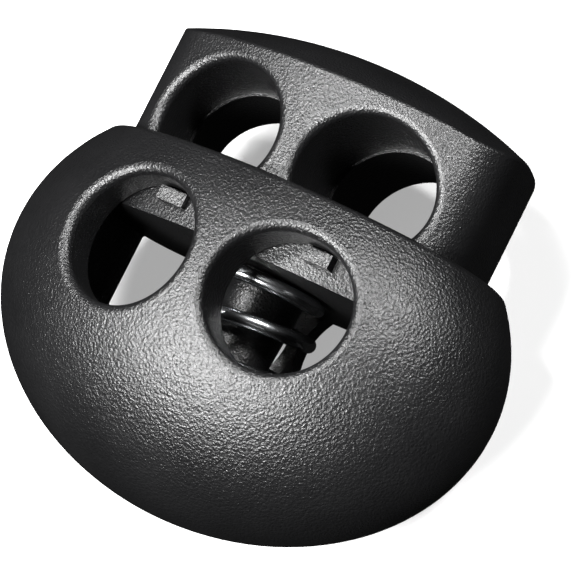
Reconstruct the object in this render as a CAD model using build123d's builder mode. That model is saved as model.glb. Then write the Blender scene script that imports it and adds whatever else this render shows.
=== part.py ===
from build123d import *
import os

# Two-hole cord lock: a bean-shaped body, a sprung plunger that slides out of its mouth, and a coil spring.
# The frame: +X across the two cord holes, +Y the way the plunger comes out, +Z out of the front face.
# The origin is on the flat back, midway between the body's two cord holes. All sizes are in millimetres.

# Body, a flattened ellipsoid cut off at the mouth and at the back
BODY_HALF_WIDTH = 10.9
BODY_HALF_LENGTH = 8.56
BODY_HALF_DEPTH = 6.9
BODY_CENTRE_Y = -0.38
MOUTH_Y = 4.5
MID_HEIGHT = 5.6
MOUTH_ROUND = 0.45

# Cord holes
HOLE_SPREAD = 3.35
HOLE_RADIUS = 2.75
RIM_ROUND = 0.32
RIM_SIZE_MARGIN = 0.2
BACK_SLOT_INNER_X = 0.3
BACK_SLOT_OUTER_X = 8.7
BACK_SLOT_HEIGHT = 6.0
BACK_SLOT_DEPTH = 3.0

# Plunger, a bun-shaped section with a domed thumb pad
PLUNGER_HALF_WIDTH = 7.68
PLUNGER_HALF_DEPTH = 4.5
PLUNGER_SIDE_HALF_DEPTH = 2.68
PLUNGER_SIDE_ROUND = 2.3
PLUNGER_FOOT_Y = 1.45
PLUNGER_HOLE_Y = 5.72
CROWN_Y = 11.05
CROWN_HALF_WIDTH = 16.2
CROWN_HALF_LENGTH = 12.0
CROWN_HALF_DEPTH = 8.54
EDGE_ROUND = 0.15
SEAM_HEIGHT = 0.12
SEAM_WIDTH = 0.14

# Guide post under the plunger's foot, inside the spring
POST_TOP_RADIUS = 1.65
POST_TIP_RADIUS = 1.4
POST_TIP_Y = -2.6
POST_TIP_ROUND = 0.3

# Stop tabs on the plunger's front face, which ride inside the body's round front holes
TAB_WIDTH = 1.2
TAB_TOP_Y = 2.6
TAB_BOTTOM_Y = 2.05
TAB_HALF_DEPTH = 4.62

# Pocket for the plunger and well for the spring
SLIDE_CLEARANCE = 0.15
TRAVEL = 4.6
POCKET_SPARE = 0.3
WELL_RADIUS = 3.0
WELL_FLOOR_Y = -7.4

# Spring
SPRING_OUTER_RADIUS = 2.75
WIRE_RADIUS = 0.32
SPRING_PITCH = 1.9
END_GAP = 0.02

POCKET_FLOOR_Y = PLUNGER_FOOT_Y - TRAVEL - POCKET_SPARE
CENTRES_X = (-HOLE_SPREAD, HOLE_SPREAD)


def across(y):
    """A plane across the plunger's path at height y, facing +Y."""
    return Plane(origin=(0, y, MID_HEIGHT), x_dir=(1, 0, 0), z_dir=(0, 1, 0))


os.makedirs("parts", exist_ok=True)

# Bun: the plunger's section, two shallow arcs, front and back, joined by rounded sides
with BuildSketch() as bun:
    with BuildLine():
        ThreePointArc(
            (-PLUNGER_HALF_WIDTH, PLUNGER_SIDE_HALF_DEPTH),
            (0, PLUNGER_HALF_DEPTH),
            (PLUNGER_HALF_WIDTH, PLUNGER_SIDE_HALF_DEPTH),
        )
        mirror(about=Plane.XZ)
        Line(
            (PLUNGER_HALF_WIDTH, PLUNGER_SIDE_HALF_DEPTH),
            (PLUNGER_HALF_WIDTH, -PLUNGER_SIDE_HALF_DEPTH),
        )
        Line(
            (-PLUNGER_HALF_WIDTH, PLUNGER_SIDE_HALF_DEPTH),
            (-PLUNGER_HALF_WIDTH, -PLUNGER_SIDE_HALF_DEPTH),
        )
    make_face()
    fillet(bun.vertices(), PLUNGER_SIDE_ROUND)

# Body: the bean shell with its pocket, spring well, round front holes and wide back slots.
# The right half is made first and then mirrored.
with BuildPart() as body:
    with Locations(Plane(origin=(0, 0, 0), x_dir=(0, 0, -1), z_dir=(0, 1, 0))):
        Sphere(1)
    scale(by=(BODY_HALF_WIDTH, BODY_HALF_LENGTH, BODY_HALF_DEPTH))
    bean = body.part.moved(Location((0, BODY_CENTRE_Y, MID_HEIGHT)))
    add(bean, mode=Mode.REPLACE)
    split(bisect_by=across(MOUTH_Y), keep=Keep.BOTTOM)
    fillet(body.faces().sort_by(Axis.Y)[-1].edges(), MOUTH_ROUND)
    split(bisect_by=Plane.XY, keep=Keep.TOP)
    split(bisect_by=Plane.YZ, keep=Keep.TOP)
    with BuildSketch(Plane.XY.offset(MID_HEIGHT)):
        with Locations((HOLE_SPREAD, 0)):
            Circle(HOLE_RADIUS)
    extrude(amount=BODY_HALF_DEPTH, mode=Mode.SUBTRACT)
    rim = body.faces().filter_by(GeomType.CYLINDER).edges().group_by(Axis.Z)[-1]
    fillet(rim, RIM_ROUND)
    with BuildSketch(across(POCKET_FLOOR_Y)):
        add(bun.sketch)
        offset(amount=SLIDE_CLEARANCE)
    extrude(amount=BODY_HALF_LENGTH * 2, mode=Mode.SUBTRACT)
    with BuildSketch(across(WELL_FLOOR_Y)):
        Circle(WELL_RADIUS)
    extrude(amount=POCKET_FLOOR_Y - WELL_FLOOR_Y + 1, mode=Mode.SUBTRACT)
    with BuildSketch(Plane.XY):
        with Locations(((BACK_SLOT_INNER_X + BACK_SLOT_OUTER_X) / 2, 0)):
            SlotOverall(BACK_SLOT_OUTER_X - BACK_SLOT_INNER_X, BACK_SLOT_HEIGHT)
    extrude(amount=BACK_SLOT_DEPTH, mode=Mode.SUBTRACT)
    mirror(about=Plane.YZ)
body.part.label = "body"
export_step(body.part, "parts/body.step")

# Crown: the shallow dome that shapes the plunger's thumb pad
with BuildPart() as crown:
    with Locations(Plane(origin=(0, 0, 0), x_dir=(0, 0, -1), z_dir=(0, 1, 0))):
        Sphere(1)
    scale(by=(CROWN_HALF_WIDTH, CROWN_HALF_LENGTH, CROWN_HALF_DEPTH))
dome = crown.part.moved(Location((0, CROWN_Y - CROWN_HALF_LENGTH, MID_HEIGHT)))

# Plunger: the bun section under the dome, with two cord holes, their mould seams, two stop tabs
# and the guide post
with BuildPart() as plunger:
    with BuildSketch(across(PLUNGER_FOOT_Y)):
        add(bun.sketch)
    extrude(amount=CROWN_Y - PLUNGER_FOOT_Y + 1)
    add(dome, mode=Mode.INTERSECT)
    pad = plunger.faces().sort_by(Axis.Y)[-1]
    fillet(pad.edges(), EDGE_ROUND)
    with BuildSketch(Plane.XY):
        with Locations(*[(hole_x, PLUNGER_HOLE_Y) for hole_x in CENTRES_X]):
            Circle(HOLE_RADIUS)
    extrude(amount=2 * MID_HEIGHT, mode=Mode.SUBTRACT)
    hole_diameter = 2 * HOLE_RADIUS
    rims = plunger.edges().filter_by(
        lambda edge: abs(edge.bounding_box().size.X - hole_diameter) < RIM_SIZE_MARGIN
    )
    fillet(rims, RIM_ROUND)
    with BuildSketch(Plane.XY.offset(MID_HEIGHT - SEAM_WIDTH / 2)):
        with Locations(*[(hole_x, PLUNGER_HOLE_Y) for hole_x in CENTRES_X]):
            Circle(HOLE_RADIUS + SEAM_HEIGHT)
            Circle(HOLE_RADIUS - SEAM_HEIGHT, mode=Mode.SUBTRACT)
    extrude(amount=SEAM_WIDTH)
    tab_y = (TAB_TOP_Y + TAB_BOTTOM_Y) / 2
    with BuildSketch(Plane.XY.offset(MID_HEIGHT)):
        with Locations(*[(hole_x, tab_y) for hole_x in CENTRES_X]):
            Rectangle(TAB_WIDTH, TAB_TOP_Y - TAB_BOTTOM_Y)
    extrude(amount=TAB_HALF_DEPTH)
    with Locations(Plane(origin=(0, PLUNGER_FOOT_Y, MID_HEIGHT), z_dir=(0, -1, 0))):
        Cone(
            POST_TOP_RADIUS,
            POST_TIP_RADIUS,
            PLUNGER_FOOT_Y - POST_TIP_Y,
            align=(Align.CENTER, Align.CENTER, Align.MIN),
        )
    tip = plunger.faces().sort_by(Axis.Y)[0]
    fillet(tip.edges(), POST_TIP_ROUND)
plunger.part.label = "plunger"
export_step(plunger.part, "parts/plunger.step")

# Spring: a round-wire coil between the floor of the well and the plunger's foot
coil_start_y = WELL_FLOOR_Y + WIRE_RADIUS + END_GAP
coil_end_y = PLUNGER_FOOT_Y - WIRE_RADIUS - END_GAP
coil_radius = SPRING_OUTER_RADIUS - WIRE_RADIUS
with BuildPart() as spring:
    with BuildLine() as coil:
        Helix(
            pitch=SPRING_PITCH,
            height=coil_end_y - coil_start_y,
            radius=coil_radius,
            center=(0, coil_start_y, MID_HEIGHT),
            direction=(0, 1, 0),
        )
    with BuildSketch(coil.line ^ 0):
        Circle(WIRE_RADIUS)
    sweep(is_frenet=True)
spring.part.label = "spring"
export_step(spring.part, "parts/spring.step")
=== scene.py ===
import math

import bmesh
import bpy
from mathutils import Matrix, Vector


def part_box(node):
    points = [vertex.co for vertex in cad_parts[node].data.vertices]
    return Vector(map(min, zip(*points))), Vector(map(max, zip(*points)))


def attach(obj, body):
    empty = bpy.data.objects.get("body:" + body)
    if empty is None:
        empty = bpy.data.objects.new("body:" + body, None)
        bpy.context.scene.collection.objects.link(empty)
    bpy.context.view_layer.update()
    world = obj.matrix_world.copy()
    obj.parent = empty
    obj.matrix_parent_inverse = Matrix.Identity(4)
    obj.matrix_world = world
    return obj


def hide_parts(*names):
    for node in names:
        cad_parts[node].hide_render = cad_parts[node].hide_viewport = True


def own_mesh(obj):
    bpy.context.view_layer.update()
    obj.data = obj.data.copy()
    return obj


# The looks of a two-hole cord lock: grained black plastic for the body and the plunger, and a smooth steel
# coil in place of the CAD spring. Everything is in metres, in the CAD frame: +X across the cord holes,
# +Y the way the plunger comes out, +Z out of the front face.
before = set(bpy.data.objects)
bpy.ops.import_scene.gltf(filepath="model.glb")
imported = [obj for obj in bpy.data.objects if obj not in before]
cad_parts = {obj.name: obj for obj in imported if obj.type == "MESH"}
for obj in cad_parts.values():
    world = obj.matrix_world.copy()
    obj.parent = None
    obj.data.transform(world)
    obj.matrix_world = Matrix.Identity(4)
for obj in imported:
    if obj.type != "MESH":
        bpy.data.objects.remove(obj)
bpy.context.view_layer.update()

MM = 0.001

# ---------------------------------------------------------------- materials

# Spark-eroded grain: the pebbles' size and height, a little finer on the plunger
BODY_GRAIN = (0.12 * MM, 0.024 * MM)
PLUNGER_GRAIN = (0.11 * MM, 0.020 * MM)
PATCH_SIZE = 3.0 * MM
PLASTIC_IOR = 1.5
PLASTIC_ROUGHNESS = (0.22, 0.30)
PIT_ROUGHNESS = 0.12
PLASTIC_DARK = (0.0025, 0.0025, 0.0027, 1)
PLASTIC_LIGHT = (0.006, 0.006, 0.0063, 1)

# Spring wire: its stains and the fine marks of drawing
STAIN_SIZE = 0.8 * MM
MARK_SIZE = 0.08 * MM
MARK_DEPTH = 0.01 * MM
STEEL_ROUGHNESS = (0.14, 0.30)
STEEL_DARK = (0.46, 0.48, 0.50, 1)
STEEL_LIGHT = (0.66, 0.67, 0.68, 1)


def new_material(name):
    material = bpy.data.materials.new(name)
    material.use_nodes = True
    return material, material.node_tree.nodes, material.node_tree.links


def noise(nodes, links, coordinates, feature_size, detail):
    """A noise texture whose blobs are about feature_size metres across."""
    texture = nodes.new("ShaderNodeTexNoise")
    texture.inputs["Scale"].default_value = 1.0 / feature_size
    texture.inputs["Detail"].default_value = detail
    texture.inputs["Roughness"].default_value = 0.5
    links.new(coordinates, texture.inputs["Vector"])
    return texture.outputs["Fac"]


def remap(nodes, links, value, low, high):
    """value from 0..1 to low..high."""
    mapped = nodes.new("ShaderNodeMapRange")
    mapped.inputs["To Min"].default_value = low
    mapped.inputs["To Max"].default_value = high
    links.new(value, mapped.inputs["Value"])
    return mapped.outputs["Result"]


def blend_colours(nodes, links, value, dark, light, socket):
    """Colours a socket from dark to light as value goes from 0 to 1."""
    tint = nodes.new("ShaderNodeMixRGB")
    tint.inputs["Color1"].default_value = dark
    tint.inputs["Color2"].default_value = light
    links.new(value, tint.inputs["Fac"])
    links.new(tint.outputs["Color"], socket)


def multiply_add(nodes, links, value, factor, addend):
    """value * factor + addend, where value and addend are sockets."""
    sum_node = nodes.new("ShaderNodeMath")
    sum_node.operation = "MULTIPLY_ADD"
    sum_node.inputs[1].default_value = factor
    links.new(value, sum_node.inputs[0])
    links.new(addend, sum_node.inputs[2])
    return sum_node.outputs[0]


def add_bump(nodes, links, height, strength, distance, shader):
    bump = nodes.new("ShaderNodeBump")
    bump.inputs["Strength"].default_value = strength
    bump.inputs["Distance"].default_value = distance
    links.new(height, bump.inputs["Height"])
    links.new(bump.outputs["Normal"], shader.inputs["Normal"])


def pebble_pattern(nodes, links, coordinates, grain_size):
    """Distance from the nearest pebble's middle, with the pebbles pushed out of shape by noise."""
    pebbles = nodes.new("ShaderNodeTexVoronoi")
    pebbles.feature = "SMOOTH_F1"
    pebbles.inputs["Scale"].default_value = 1.0 / grain_size
    pebbles.inputs["Smoothness"].default_value = 0.6
    warp = nodes.new("ShaderNodeTexNoise")
    warp.inputs["Scale"].default_value = 0.6 / grain_size
    links.new(coordinates, warp.inputs["Vector"])
    warped = nodes.new("ShaderNodeVectorMath")
    warped.operation = "MULTIPLY_ADD"
    warped.inputs[1].default_value = (grain_size,) * 3
    links.new(warp.outputs["Color"], warped.inputs[0])
    links.new(coordinates, warped.inputs[2])
    links.new(warped.outputs[0], pebbles.inputs["Vector"])
    return pebbles.outputs["Distance"]


def grained_plastic(name, grain_size, grain_depth):
    """Black moulded plastic with a spark-eroded grain: rounded pebbles, with finer tooth between them."""
    material, nodes, links = new_material(name)
    shader = nodes["Principled BSDF"]
    coordinates = nodes.new("ShaderNodeTexCoord").outputs["Object"]

    pebbles = pebble_pattern(nodes, links, coordinates, grain_size)
    tooth = noise(nodes, links, coordinates, grain_size * 0.5, detail=3.0)
    height = multiply_add(nodes, links, pebbles, -1.0, tooth)
    add_bump(nodes, links, height, 1.0, grain_depth, shader)

    # The pebbles' tops are a little more polished than the pits, and both vary in soft patches.
    patches = noise(nodes, links, coordinates, PATCH_SIZE, detail=3.0)
    base_roughness = remap(nodes, links, patches, *PLASTIC_ROUGHNESS)
    roughness = multiply_add(nodes, links, pebbles, PIT_ROUGHNESS, base_roughness)
    links.new(roughness, shader.inputs["Roughness"])
    blend_colours(nodes, links, patches, PLASTIC_DARK, PLASTIC_LIGHT, shader.inputs["Base Color"])
    shader.inputs["IOR"].default_value = PLASTIC_IOR
    return material


def spring_wire(name):
    """Bright drawn steel wire with faint stains and fine marks."""
    material, nodes, links = new_material(name)
    shader = nodes["Principled BSDF"]
    shader.inputs["Metallic"].default_value = 1.0
    coordinates = nodes.new("ShaderNodeTexCoord").outputs["Object"]

    stains = noise(nodes, links, coordinates, STAIN_SIZE, detail=3.0)
    blend_colours(nodes, links, stains, STEEL_DARK, STEEL_LIGHT, shader.inputs["Base Color"])
    links.new(remap(nodes, links, stains, *STEEL_ROUGHNESS), shader.inputs["Roughness"])
    marks = noise(nodes, links, coordinates, MARK_SIZE, detail=2.0)
    add_bump(nodes, links, marks, 0.3, MARK_DEPTH, shader)
    return material


def paint(node, material):
    """Gives a CAD node its material; its mesh is left as it is."""
    mesh_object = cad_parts[node]
    mesh_object.data.materials.clear()
    mesh_object.data.materials.append(material)


paint("body", grained_plastic("body_plastic", *BODY_GRAIN))
paint("plunger", grained_plastic("plunger_plastic", *PLUNGER_GRAIN))

# ---------------------------------------------------------------- spring

WIRE_RADIUS = 0.32 * MM
RING_POINTS = 20
POINTS_PER_TURN = 64

# The coil's ends lie nearly flat for part of a turn, and the turns between have an even pitch.
# The last turn passes the front this far, in turns, before the coil's end.
END_TURNS = 0.4
END_RISE = 2.1 * WIRE_RADIUS
OPEN_TURNS = 4.0
TOTAL_TURNS = 2 * END_TURNS + OPEN_TURNS
LAST_FRONT_TURN = 0.26

# Offsets, in turns, over which the height is averaged, so that the pitch changes softly
SMOOTHING_TURNS = (-0.08, -0.04, 0, 0.04, 0.08)

# Sizes of the rings at a cut end, from the last one in, as shares of the wire's radius
END_RINGS = (0.55, 0.85, 0.97)


def coil_height(turn, first, last):
    """Height along the coil's axis after so many turns, from first to last."""
    turn = min(max(turn, 0), TOTAL_TURNS)
    if turn < END_TURNS:
        return first + END_RISE * turn
    if turn > TOTAL_TURNS - END_TURNS:
        return last - END_RISE * (TOTAL_TURNS - turn)
    open_rise = (last - first) - 2 * END_TURNS * END_RISE
    return first + END_RISE * END_TURNS + open_rise * (turn - END_TURNS) / OPEN_TURNS


def wire_ring(mesh, centre, outward, side, radius):
    """One ring of the wire's surface, as new vertices of mesh."""
    ring = []
    for j in range(RING_POINTS):
        angle = 2 * math.pi * j / RING_POINTS
        offset = outward * math.cos(angle) + side * math.sin(angle)
        ring.append(mesh.verts.new(centre + offset * radius))
    return ring


def make_spring(material):
    """The coil as one smooth tube with rounded ends, in the CAD spring's place."""
    low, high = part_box("spring")
    axis_x = (low.x + high.x) / 2
    axis_z = (low.z + high.z) / 2
    coil_radius = (high.x - low.x) / 2 - WIRE_RADIUS
    first = low.y + WIRE_RADIUS
    last = high.y - WIRE_RADIUS
    count = int(TOTAL_TURNS * POINTS_PER_TURN)

    def centre(i):
        turn = TOTAL_TURNS * i / count
        angle = 2 * math.pi * (turn - TOTAL_TURNS + LAST_FRONT_TURN)
        heights = [coil_height(turn + shift, first, last) for shift in SMOOTHING_TURNS]
        return Vector((axis_x + coil_radius * math.sin(angle),
                       sum(heights) / len(heights),
                       axis_z + coil_radius * math.cos(angle)))

    mesh = bmesh.new()
    rings = []
    for i in range(count + 1):
        here = centre(i)
        ahead = (centre(min(i + 1, count)) - centre(max(i - 1, 0))).normalized()
        outward = Vector((here.x - axis_x, 0, here.z - axis_z)).normalized()
        outward = (outward - ahead * outward.dot(ahead)).normalized()
        steps_from_end = min(i, count - i)
        share = END_RINGS[steps_from_end] if steps_from_end < len(END_RINGS) else 1.0
        rings.append(wire_ring(mesh, here, outward, ahead.cross(outward), WIRE_RADIUS * share))
    for near, far in zip(rings, rings[1:]):
        for j in range(RING_POINTS):
            k = (j + 1) % RING_POINTS
            mesh.faces.new((near[j], near[k], far[k], far[j]))
    mesh.faces.new(list(reversed(rings[0])))
    mesh.faces.new(rings[-1])
    bmesh.ops.recalc_face_normals(mesh, faces=mesh.faces)
    for face in mesh.faces:
        face.smooth = len(face.verts) == 4

    data = bpy.data.meshes.new("spring_coil")
    mesh.to_mesh(data)
    mesh.free()
    spring = bpy.data.objects.new("spring_coil", data)
    bpy.context.scene.collection.objects.link(spring)
    spring.data.materials.append(material)
    return spring


coil = make_spring(spring_wire("spring_steel"))
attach(coil, "body")
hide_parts("spring")
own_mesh(coil)

# ---------------------------------------------------------------- floor

FLOOR_HALF_SIZE = 0.6
FLOOR_GAP = 0.02 * MM
FLOOR_GREY = 0.40
FLOOR_GLOW = 0.38


def make_floor():
    """A pale, softly glowing sheet just under the lock."""
    half = FLOOR_HALF_SIZE
    mesh = bpy.data.meshes.new("floor")
    corners = [(-half, -half, 0), (half, -half, 0), (half, half, 0), (-half, half, 0)]
    mesh.from_pydata(corners, [], [(0, 1, 2, 3)])
    sheet = bpy.data.objects.new("floor", mesh)
    body_low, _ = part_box("body")
    sheet.location.z = body_low.z - FLOOR_GAP
    bpy.context.scene.collection.objects.link(sheet)

    material, nodes, _ = new_material("floor_white")
    shader = nodes["Principled BSDF"]
    shader.inputs["Base Color"].default_value = (FLOOR_GREY, FLOOR_GREY, FLOOR_GREY, 1)
    shader.inputs["Roughness"].default_value = 0.9
    shader.inputs["Specular IOR Level"].default_value = 0.0
    shader.inputs["Emission Color"].default_value = (1, 1, 1, 1)
    shader.inputs["Emission Strength"].default_value = FLOOR_GLOW
    mesh.materials.append(material)

    # The floor lights nothing and shows in no reflection, so the black plastic keeps its dark edges.
    sheet.visible_diffuse = False
    sheet.visible_glossy = False
    return sheet


make_floor()

# ---------------------------------------------------------------- lights

LIGHT_DISTANCE = 0.40
LIGHT_AIM = Vector((0, 0, 6 * MM))
WORLD_STRENGTH = 0.008

# name, direction towards the light, width and height in metres, watts
SOFTBOXES = (
    ("key", (-0.28, 0.20, 1.0), (0.06, 0.06), 2.3),
    ("front_fill", (-0.17, -0.44, 0.88), (0.25, 0.09), 6.8),
    ("side_fill", (0.44, 0.56, 0.70), (0.09, 0.06), 2.8),
)


def softbox(name, direction, size, power):
    """An area light that faces the lock."""
    light = bpy.data.lights.new(name, "AREA")
    light.shape = "RECTANGLE"
    light.size, light.size_y = size
    light.energy = power
    lamp = bpy.data.objects.new(name, light)
    towards = Vector(direction).normalized()
    lamp.location = LIGHT_AIM + towards * LIGHT_DISTANCE
    lamp.rotation_euler = towards.to_track_quat("Z", "Y").to_euler()
    bpy.context.scene.collection.objects.link(lamp)


for box in SOFTBOXES:
    softbox(*box)

world = bpy.data.worlds.new("studio")
bpy.context.scene.world = world
world.use_nodes = True
world.node_tree.nodes["Background"].inputs["Color"].default_value = (1, 1, 1, 1)
world.node_tree.nodes["Background"].inputs["Strength"].default_value = WORLD_STRENGTH

# Plain contrast, so that black plastic stays black beside a white floor
bpy.context.scene.view_settings.view_transform = "Standard"

# ---------------------------------------------------------------- camera

# Degrees, millimetres for the lens and the sensor, and metres for the rest
CAMERA_AZIMUTH = 72.577
CAMERA_ELEVATION = 64.335
CAMERA_ROLL = 47.618
CAMERA_DISTANCE = 125 * MM
CAMERA_AIM = Vector((0.702, 1.475, 5.479)) * MM
CAMERA_LENS = 197.15
CAMERA_SENSOR = 36


def make_camera():
    """The camera, above the lock and to its right, rolled so that the plunger points up and right."""
    azimuth, elevation = math.radians(CAMERA_AZIMUTH), math.radians(CAMERA_ELEVATION)
    back = Vector((math.sin(azimuth) * math.cos(elevation),
                   -math.cos(azimuth) * math.cos(elevation),
                   math.sin(elevation)))
    data = bpy.data.cameras.new("camera")
    data.lens = CAMERA_LENS
    data.sensor_width = CAMERA_SENSOR
    data.clip_start = 0.01
    data.clip_end = 10
    camera = bpy.data.objects.new("camera", data)
    camera.location = CAMERA_AIM + back * CAMERA_DISTANCE
    upright = back.to_track_quat("Z", "Y").to_matrix()
    roll = Matrix.Rotation(-math.radians(CAMERA_ROLL), 3, "Z")
    camera.rotation_euler = (upright @ roll).to_euler()
    bpy.context.scene.collection.objects.link(camera)
    return camera


bpy.context.scene.camera = make_camera()
